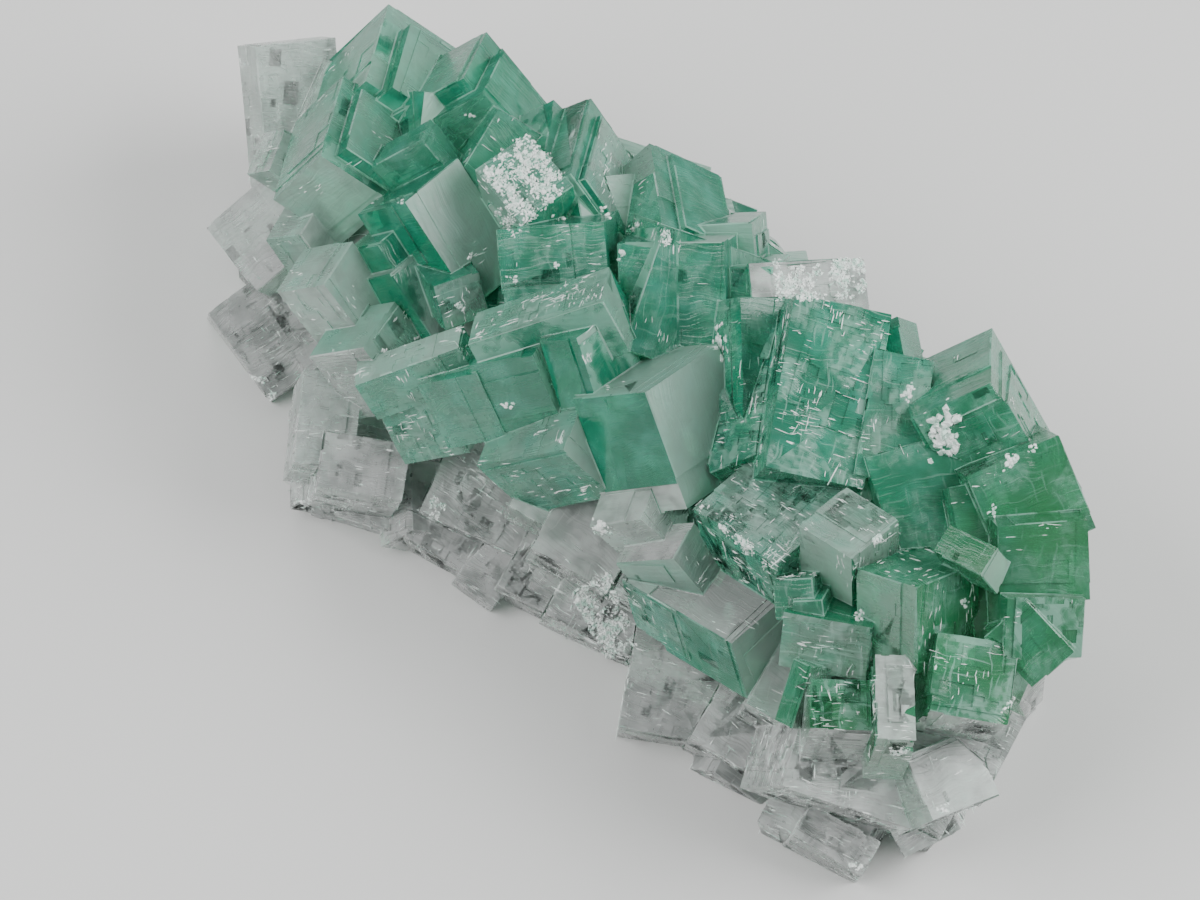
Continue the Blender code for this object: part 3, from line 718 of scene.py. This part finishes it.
def crystal_finish(zones_group, relief_group):
    """See-through crystal, deep green going mint and colourless, glassy with satin faces painted pale as a
    painted sheen, and worn edges painted paler, partly wear and partly a painted edge highlight.
    """
    s = settings("crystal")
    made, w, shader = new_finish("green_crystal")
    satin, lot, edge, own, tone, broken = (
        w.add("ShaderNodeAttribute", attribute_name=n, attribute_type="GEOMETRY").outputs["Fac"] for n in NOTES
    )
    place = w.add("ShaderNodeTexCoord").outputs["Object"]
    plane = w.add("ShaderNodeUVMap", uv_map="face_plane").outputs[0]
    zones = w.add("ShaderNodeGroup", {"Place": place, "Lot": lot}, node_tree=zones_group)
    zone, olive, cloud = (zones.outputs[n] for n in ("Green", "Olive", "Cloud"))
    relief = w.add("ShaderNodeGroup", {"Plane": plane}, node_tree=relief_group)
    height, lines, streaks, frost = (relief.outputs[n] for n in ("Height", "Hairlines", "Streaks", "Frost"))

    # How green: a face's own tone where it has one, else its zone's. A tone under zero is smoky instead.
    smoky = w.math("MULTIPLY", tone, -1.0, clamp=True)
    tone = w.ramp(w.plus(tone, w.math("MULTIPLY_ADD", cloud, 0.6, -0.3)), 0.05, 0.85)
    green = w.plus(w.times(tone, own), w.times(zone, w.rest(own)))

    # The green body, and the colourless crystal that it fades to.
    body = w.mix(w.ramp(cloud, 0.42, 0.72), s.deep, s.mint)
    body = w.mix(w.times(olive, 0.85), body, s.olive)
    # Satin faces are painted pale: a painted sheen for the light they reflect, on top of their real rougher
    # skin.
    body = w.mix(w.times(satin, satin, 0.9), body, s.satin)
    bright = w.times(w.ramp(cloud, 0.35, 0.65), w.rest(smoky))
    colour = w.mix(green, w.mix(bright, s.smoke, s.clear), body)

    # Frost, streaks and worn edges veil it; the paler worn edges are partly wear and partly a painted edge
    # highlight.
    grain = w.noise(place, 900.0, 1.0, 0.7)
    rubbed = w.math("MAXIMUM", broken, w.times(satin, 0.4))
    frosty = w.times(frost, rubbed, w.ramp(grain, 0.38, 0.62, 0.25, 1.0))
    worn_edge_and_glint = w.times(edge, w.ramp(cloud, 0.36, 0.56))
    veil = w.mix(green, s.clear, s.veil)
    for share in (w.times(frosty, 0.65), w.times(streaks, rubbed, 0.6), w.times(worn_edge_and_glint, 0.6)):
        colour = w.mix(share, colour, veil)
    w.put(shader.inputs["Base Color"], colour)

    rough = w.plus(
        w.math("MULTIPLY_ADD", satin, 0.26, 0.11),
        w.times(w.ramp(lines, 0.48, 0.75), 0.14),
        w.times(frosty, 0.3),
        w.times(w.rest(green), 0.06),
    )
    w.put(shader.inputs["Roughness"], w.math("MAXIMUM", rough, w.times(worn_edge_and_glint, 0.35)))
    shader.inputs["IOR"].default_value = CRYSTAL_IOR
    shader.inputs["Transmission Weight"].default_value = SEE_THROUGH
    uneven = w.times(height, w.math("MULTIPLY_ADD", broken, 0.9, 0.4))
    bump = w.add("ShaderNodeBump", {"Height": uneven, "Strength": 1.0, "Distance": RELIEF_DEPTH})
    w.put(shader.inputs["Normal"], bump.outputs[0])
    absorb = w.add("ShaderNodeVolumeAbsorption", {"Color": BODY_TINT, "Density": BODY_DENSITY})
    w.put(made.node_tree.nodes["Material Output"].inputs["Volume"], absorb.outputs[0])
    return made


def bed_finish():
    """The dull broken underside: white under the clear crystal, green under the green."""
    made, w, shader = new_finish("bed_cut")
    place = w.add("ShaderNodeTexCoord").outputs["Object"]
    y = w.add("ShaderNodeSeparateXYZ", {0: place}).outputs[1]
    grain = w.noise(place, 900.0, 6.0, 0.7)
    patch = w.noise(place, 110.0, 4.0, 0.6)
    back = w.ramp(w.plus(y, w.math("MULTIPLY_ADD", patch, 0.016, -0.008)), -0.014, 0.006)
    pale = w.mix(w.ramp(patch, 0.35, 0.65), (0.68, 0.70, 0.68, 1.0), (0.93, 0.94, 0.93, 1.0))
    dark = w.mix(w.ramp(patch, 0.35, 0.65), (0.05, 0.20, 0.13, 1.0), (0.14, 0.38, 0.27, 1.0))
    w.put(shader.inputs["Base Color"], w.mix(back, pale, dark))
    w.put(shader.inputs["Roughness"], w.ramp(grain, 0.3, 0.7, 0.55, 0.9))
    bump = w.add("ShaderNodeBump", {"Height": grain, "Strength": 0.8, "Distance": BED_DEPTH})
    w.put(shader.inputs["Normal"], bump.outputs[0])
    return made


def bruise_specks():
    """Group: whiter and duller specks over broken crystal."""
    tree, start, end = new_group(
        "bruise_specks",
        [("Place", "NodeSocketVector", None), ("White", "NodeSocketColor", None),
         ("Size", "NodeSocketFloat", 0.0007)],
        [("Colour", "NodeSocketColor"), ("Roughness", "NodeSocketFloat")],
    )
    w = Wires(tree)
    patch = w.noise(start.outputs["Place"], w.math("DIVIDE", 1.0, start.outputs["Size"]), 2.0, 0.6)
    tint = (0.50, 0.72, 0.62, 1.0)
    w.put(end.inputs["Colour"], w.mix(w.ramp(patch, 0.32, 0.60), tint, start.outputs["White"]))
    w.put(end.inputs["Roughness"], w.ramp(patch, 0.3, 0.7, 0.18, 0.5))
    return tree


def white_finish(name, specks_group, size):
    """Bruised crystal, white and sparkling."""
    made, w, shader = new_finish(name)
    place = w.add("ShaderNodeTexCoord").outputs["Object"]
    values = {"Place": place, "White": settings("flaws").white, "Size": size}
    specks = w.add("ShaderNodeGroup", values, node_tree=specks_group)
    w.put(shader.inputs["Base Color"], specks.outputs["Colour"])
    w.put(shader.inputs["Roughness"], specks.outputs["Roughness"])
    shader.inputs["IOR"].default_value = CRYSTAL_IOR
    shader.inputs["Transmission Weight"].default_value = BRUISE_THROUGH
    return made


def shared_specks():
    """The specks group, built once for the bruises and the sugar."""
    return bpy.data.node_groups.get("bruise_specks") or bruise_specks()


# ---------------------------------------------------------------- node trees


def scatter_tree(name, shape_of, material):
    """A Geometry Nodes tree that puts one shape on each point, by the points' own tilt, way and size."""
    tree = bpy.data.node_groups.new(name, "GeometryNodeTree")
    tree.interface.new_socket("Points", in_out="INPUT", socket_type="NodeSocketGeometry")
    size = tree.interface.new_socket("Size", in_out="INPUT", socket_type="NodeSocketFloat")
    size.subtype, size.default_value = "DISTANCE", 0.001
    seed = tree.interface.new_socket("Seed", in_out="INPUT", socket_type="NodeSocketInt")
    seed.default_value = SEED
    tree.interface.new_socket("Geometry", in_out="OUTPUT", socket_type="NodeSocketGeometry")
    w = Wires(tree)
    start, end = tree.nodes.new("NodeGroupInput"), tree.nodes.new("NodeGroupOutput")
    tilt, way, spread = (
        w.add("GeometryNodeInputNamedAttribute", {"Name": n}, data_type="FLOAT_VECTOR").outputs[0]
        for n in SPREAD
    )
    upright = w.add("FunctionNodeAlignRotationToVector", {"Vector": tilt}, axis="Z").outputs[0]
    values = {"Rotation": upright, "Vector": way}
    lie = w.add("FunctionNodeAlignRotationToVector", values, axis="X", pivot_axis="Z")
    put = w.add("GeometryNodeInstanceOnPoints", {
        "Points": start.outputs["Points"], "Instance": shape_of(w), "Rotation": lie.outputs[0],
        "Scale": w.scaled(spread, start.outputs["Size"]),
    })
    real = w.add("GeometryNodeRealizeInstances", {"Geometry": put.outputs[0]})
    shape = ruffled(w, real.outputs[0], start)
    paint = w.add("GeometryNodeSetMaterial", {"Geometry": shape, "Material": material})
    w.put(end.inputs[0], paint.outputs[0])
    return tree


def ruffled(w, geometry, start):
    """Moves every corner a little, so that no two pieces are alike."""
    place = w.add("GeometryNodeInputPosition").outputs[0]
    by_size = w.times(start.outputs["Size"], 0.34)
    shake = w.add("ShaderNodeTexNoise", {"Vector": place, "Detail": 1.0}, noise_dimensions="4D")
    w.put(shake.inputs["Scale"], w.math("DIVIDE", 0.8, start.outputs["Size"]))
    w.put(shake.inputs["W"], start.outputs["Seed"])
    values = {0: shake.outputs["Color"], 1: (0.5, 0.5, 0.5)}
    centred = w.add("ShaderNodeVectorMath", values, operation="SUBTRACT")
    offset = w.scaled(centred.outputs[0], by_size)
    return w.add("GeometryNodeSetPosition", {"Geometry": geometry, "Offset": offset}).outputs[0]


def film_shape(w):
    """A ball that its size flattens to a thin closed lens."""
    return w.add("GeometryNodeMeshIcoSphere", {"Radius": 0.5, "Subdivisions": 2}).outputs[0]


def chip_shape(w):
    """A low chip with a flat top and five slanted sides."""
    sizes = {"Vertices": 5, "Radius Top": 0.30, "Radius Bottom": 0.55, "Depth": 1.0}
    return w.add("GeometryNodeMeshCone", sizes).outputs[0]


def grain_shape(w):
    """A tiny cube."""
    return w.add("GeometryNodeMeshCube", {"Size": (1.0, 1.0, 1.0)}).outputs[0]


def scattered(name, points, tree, size, seed):
    """The tree's result on these points, as a plain mesh."""
    mesh = bpy.data.meshes.new(name)
    mesh.from_pydata([p[0] for p in points], [], [])
    for label, values in zip(SPREAD, list(zip(*points))[1:]):
        held = mesh.attributes.new(label, "FLOAT_VECTOR", "POINT").data
        for i, value in enumerate(values):
            held[i].vector = value
    obj = new_object(name, mesh)
    nodes = obj.modifiers.new("scatter", "NODES")
    nodes.node_group = tree
    by_name = {i.name: i.identifier for i in tree.interface.items_tree if i.in_out == "INPUT"}
    nodes[by_name["Size"]] = size
    nodes[by_name["Seed"]] = seed
    obj.data = evaluated_mesh(obj)
    obj.modifiers.clear()
    painted = obj.data.materials[-1] if obj.data.materials else None
    obj.data.materials.clear()
    obj.data.materials.append(painted)
    obj.data.polygons.foreach_set("material_index", [0] * len(obj.data.polygons))
    return obj


# ---------------------------------------------------------------- operators


class CRYSTAL_OT_grow_skin(bpy.types.Operator):
    """Makes the crystals' skin: growth ledges, worn edges and the see-through finish"""

    bl_idname = "crystal.grow_skin"
    bl_label = "Grow the crystals"

    def execute(self, context):
        s = settings("crystal")
        cast = merged_cast()
        plain, named = face_plan(cast)
        target = new_object("skin", cast)
        worn(target, s.edge_round)
        cut_ledges(target, plain, s.steps, s.step_height)
        cut_pits(target, plain, named, s.pits)
        with_sealed_cracks(target, plain, named, s.films, s.film_size)
        face_notes(target.data, plain, named)
        target.data.shade_flat()
        plain.free()
        target.data.materials.clear()
        target.data.materials.append(crystal_finish(growth_zones(), growth_relief()))
        target.data.materials.append(bed_finish())
        if not target.data.polygons:
            raise RuntimeError("the crystals' skin came out empty")
        finished(target, "green_crystals")
        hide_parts(NODE)
        return {"FINISHED"}


def film_places(plain, named, count):
    """Where the inner cracks lie: under the faces, most of them along the crystal's own cleavage."""
    rng = np.random.default_rng(SEED + 2)
    faces, share = likely_faces(plain, named, FILM_FACE, lambda much: 0.2 + much)
    places = []
    for _ in range(count):
        face = faces[int(rng.choice(len(faces), p=share))]
        at = place_on(face, rng) - face.normal * float(rng.uniform(0.5, 4.5)) * MM
        first, second = grain_of(face)
        way = (face.normal, first, second)[int(rng.choice(3, p=(0.4, 0.3, 0.3)))]
        way = (way + Vector(rng.normal(0, 0.12 if rng.uniform() < 0.6 else 0.9, 3))).normalized()
        wide = float(rng.lognormal(0.0, 0.5))
        places.append((at, way, any_way(rng), (wide, wide * float(rng.uniform(0.3, 1.0)), 0.012)))
    return places


def sealed_only(films, skin, plain):
    """Keeps the films that lie wholly inside the crystals, and turns them to face the gap they hold."""
    tree = BVHTree.FromBMesh(plain)
    co = np.empty(len(films.vertices) * 3)
    films.vertices.foreach_get("co", co)
    kept = bmesh.new()
    kept.from_mesh(films)
    kept.verts.ensure_lookup_table()
    lost = []
    for start in range(0, len(films.vertices), FILM_CORNERS):
        end = start + FILM_CORNERS
        for place in co.reshape(-1, 3)[start:end]:
            near, normal, _, deep = tree.find_nearest(Vector(place))
            away = skin.find_nearest(Vector(place))[3]
            if away < FILM_CLEARANCE or deep < LEDGE_REACH or (Vector(place) - near).dot(normal) > 0:
                lost += kept.verts[start:end]
                break
    bmesh.ops.delete(kept, geom=lost, context="VERTS")
    bmesh.ops.reverse_faces(kept, faces=kept.faces)
    return kept


def with_sealed_cracks(target, plain, named, count, size):
    """Adds the inner cracks to the crystals' own skin as thin empty gaps, so that they flash."""
    skin = skin_tree(target.data)
    places = film_places(plain, named, count)
    films = scattered("films", places, scatter_tree("films", film_shape, None), size, 3)
    gaps = mesh_of("gaps", sealed_only(films.data, skin, plain))
    bpy.data.objects.remove(films)
    whole = bmesh.new()
    whole.from_mesh(target.data)
    whole.from_mesh(gaps)
    whole.to_mesh(target.data)
    whole.free()


class CRYSTAL_OT_crack(bpy.types.Operator):
    """Lays short bright cracks along the cleavage of the broken faces"""

    bl_idname = "crystal.crack"
    bl_label = "Crack the broken faces"

    def execute(self, context):
        rng = np.random.default_rng(SEED + 5)
        skin = skin_tree(bpy.data.objects["green_crystals"].data)
        plain, named = face_plan(merged_cast())
        faces, share = likely_faces(plain, named, PIT_FACE, lambda much: much**2)
        points = []
        for _ in range(settings("flaws").cracks):
            face = faces[int(rng.choice(len(faces), p=share))]
            heart, (first, second) = place_on(face, rng), grain_of(face)
            way = second if rng.uniform() < 0.3 else first
            for _ in range(int(rng.integers(2, 8))):
                at = heart + (first * float(rng.normal(0, 0.7)) + second * float(rng.normal(0, 0.7))) * MM
                lean = way + Vector(rng.normal(0, 0.12, 3))
                long, wide = float(rng.lognormal(-0.3, 0.5)), float(rng.lognormal(-2.5, 0.35))
                near, normal, _, away = skin.find_nearest(at)
                if away > 0.25 * MM or normal.dot(face.normal) < 0.8:
                    continue
                points.append((near - normal * 0.01 * MM, normal, lean, (long, wide, 0.05)))
        plain.free()
        white = white_finish("crack_white", shared_specks(), 0.0012)
        made = scattered("cracks", points, scatter_tree("slivers", chip_shape, white), 1.0 * MM, 9)
        finished(made, "bright_cracks")
        return {"FINISHED"}


class CRYSTAL_OT_bruise(bpy.types.Operator):
    """Puts white bruises and chips where the crystals were knocked"""

    bl_idname = "crystal.bruise"
    bl_label = "Bruise the edges"

    def execute(self, context):
        rng = np.random.default_rng(SEED + 3)
        skin = skin_tree(bpy.data.objects["green_crystals"].data)
        right, upward, _ = look_axes()
        points = []
        for across, up, long, wide, turn in BRUISES:
            c, n = turned(1.0, 0.0, turn)
            for _ in range(5 + int(6 * long * wide)):
                a, b = turned(*rng.normal(0, 0.26, 2) * (long, wide), turn)
                place, normal, _ = seen_on(skin, across + a, up + b)
                if place is None:
                    continue
                lean = (normal + Vector(rng.normal(0, 0.3, 3))).normalized()
                flake = (0.22 * wide + 0.12) * float(rng.uniform(0.6, 1.6))
                way = right * c + upward * n + Vector(rng.normal(0, 0.6, 3))
                size = (flake * 1.5, flake, 0.45 * flake)
                points.append((place - normal * 0.28 * flake * MM, lean, way, size))
        white = white_finish("bruise_white", shared_specks(), 0.0009)
        made = scattered("bruises", points, scatter_tree("chips", chip_shape, white), 1.0 * MM, 5)
        finished(made, "white_bruises")
        return {"FINISHED"}


class CRYSTAL_OT_sugar(bpy.types.Operator):
    """Crusts the etched faces with sugary grains"""

    bl_idname = "crystal.sugar"
    bl_label = "Crust the etched faces"

    def execute(self, context):
        s = settings("flaws")
        rng = np.random.default_rng(SEED + 4)
        skin = skin_tree(bpy.data.objects["green_crystals"].data)
        points = []
        for across, up, half, low, turn, count in SUGAR:
            clumps = rng.uniform(-1, 1, (max(3, count // 14), 2))
            for _ in range(int(1.5 * count)):
                a, b = clumps[int(rng.integers(len(clumps)))] * (half, low) + rng.normal(0, 0.30, 2)
                if abs(a) > half or abs(b) > low:
                    continue
                a, b = turned(a, b, turn)
                place, normal, _ = seen_on(skin, across + a, up + b)
                if place is None:
                    continue
                lean = (normal + Vector(rng.normal(0, 0.5, 3))).normalized()
                k = rng.lognormal(-0.1, 0.5, 3) * (1.0, 1.0, 0.7)
                points.append((place - normal * 0.06 * MM, lean, any_way(rng), tuple(k)))
        white = white_finish("sugar_white", shared_specks(), 0.0006)
        made = scattered("sugar", points, scatter_tree("grains", grain_shape, white), s.grain, 7)
        finished(made, "sugar_crust")
        return {"FINISHED"}


def soft_light(name, azimuth, elevation, distance, size, power):
    """A square soft light that faces the cluster."""
    data = bpy.data.lights.new(name, "AREA")
    data.shape, data.size, data.energy = "SQUARE", size, power
    lamp = bpy.data.objects.new(name, data)
    bpy.context.scene.collection.objects.link(lamp)
    back = way_to(azimuth, elevation)
    lamp.location = LAMP_AIM + back * distance
    lamp.rotation_euler = back.to_track_quat("Z", "Y").to_euler()


class CRYSTAL_OT_stage(bpy.types.Operator):
    """Sets a plain pale floor, soft studio light and the camera"""

    bl_idname = "crystal.stage"
    bl_label = "Set the stage"

    def execute(self, context):
        s = settings("stage")
        form = bmesh.new()
        bmesh.ops.create_grid(form, x_segments=1, y_segments=1, size=FLOOR_HALF)
        floor = new_object("floor", mesh_of("floor", form))
        made, _, shader = new_finish("floor_paper")
        shader.inputs["Base Color"].default_value = s.floor
        shader.inputs["Roughness"].default_value = 0.8
        floor.data.materials.append(made)
        world = bpy.data.worlds.new("studio")
        context.scene.world = world
        world.use_nodes = True
        world.node_tree.nodes["Background"].inputs["Color"].default_value = AIR
        for name, place in LAMPS.items():
            soft_light(name, *place, getattr(s, name))
        back = look_axes()[2]
        data = bpy.data.cameras.new("camera")
        data.sensor_width, data.lens = 36.0, 36.0 * SIGHT / SEEN_WIDTH
        camera = bpy.data.objects.new("camera", data)
        context.scene.collection.objects.link(camera)
        camera.location = (LOOK_MIDDLE + back * SIGHT) * MM
        camera.rotation_euler = back.to_track_quat("Z", "Y").to_euler()
        context.scene.camera = camera
        return {"FINISHED"}


class CRYSTAL_PT_panel(bpy.types.Panel):
    """Lists the settings and the steps"""

    bl_idname = "CRYSTAL_PT_panel"
    bl_label = "Green cubic crystals"
    bl_space_type = "VIEW_3D"
    bl_region_type = "UI"
    bl_category = "Crystal"

    def draw(self, context):
        for group in SETTINGS:
            box, held = self.layout.box(), getattr(context.scene, group)
            for label in held.__annotations__:
                box.prop(held, label)
        for step in STEPS:
            self.layout.operator(step.bl_idname)


SETTINGS = {"crystal": CrystalSettings, "flaws": FlawSettings, "stage": StageSettings}
STEPS = (CRYSTAL_OT_grow_skin, CRYSTAL_OT_crack, CRYSTAL_OT_bruise, CRYSTAL_OT_sugar, CRYSTAL_OT_stage)
CLASSES = (*SETTINGS.values(), *STEPS, CRYSTAL_PT_panel)


def register():
    for each in CLASSES:
        bpy.utils.register_class(each)
    for name, kind in SETTINGS.items():
        setattr(bpy.types.Scene, name, PointerProperty(type=kind))


def unregister():
    for name in SETTINGS:
        delattr(bpy.types.Scene, name)
    for each in reversed(CLASSES):
        bpy.utils.unregister_class(each)


def main():
    register()
    bpy.ops.crystal.grow_skin()
    bpy.ops.crystal.crack()
    bpy.ops.crystal.bruise()
    bpy.ops.crystal.sugar()
    bpy.ops.crystal.stage()
    bpy.context.view_layer.update()


if __name__ == "__main__":
    main()
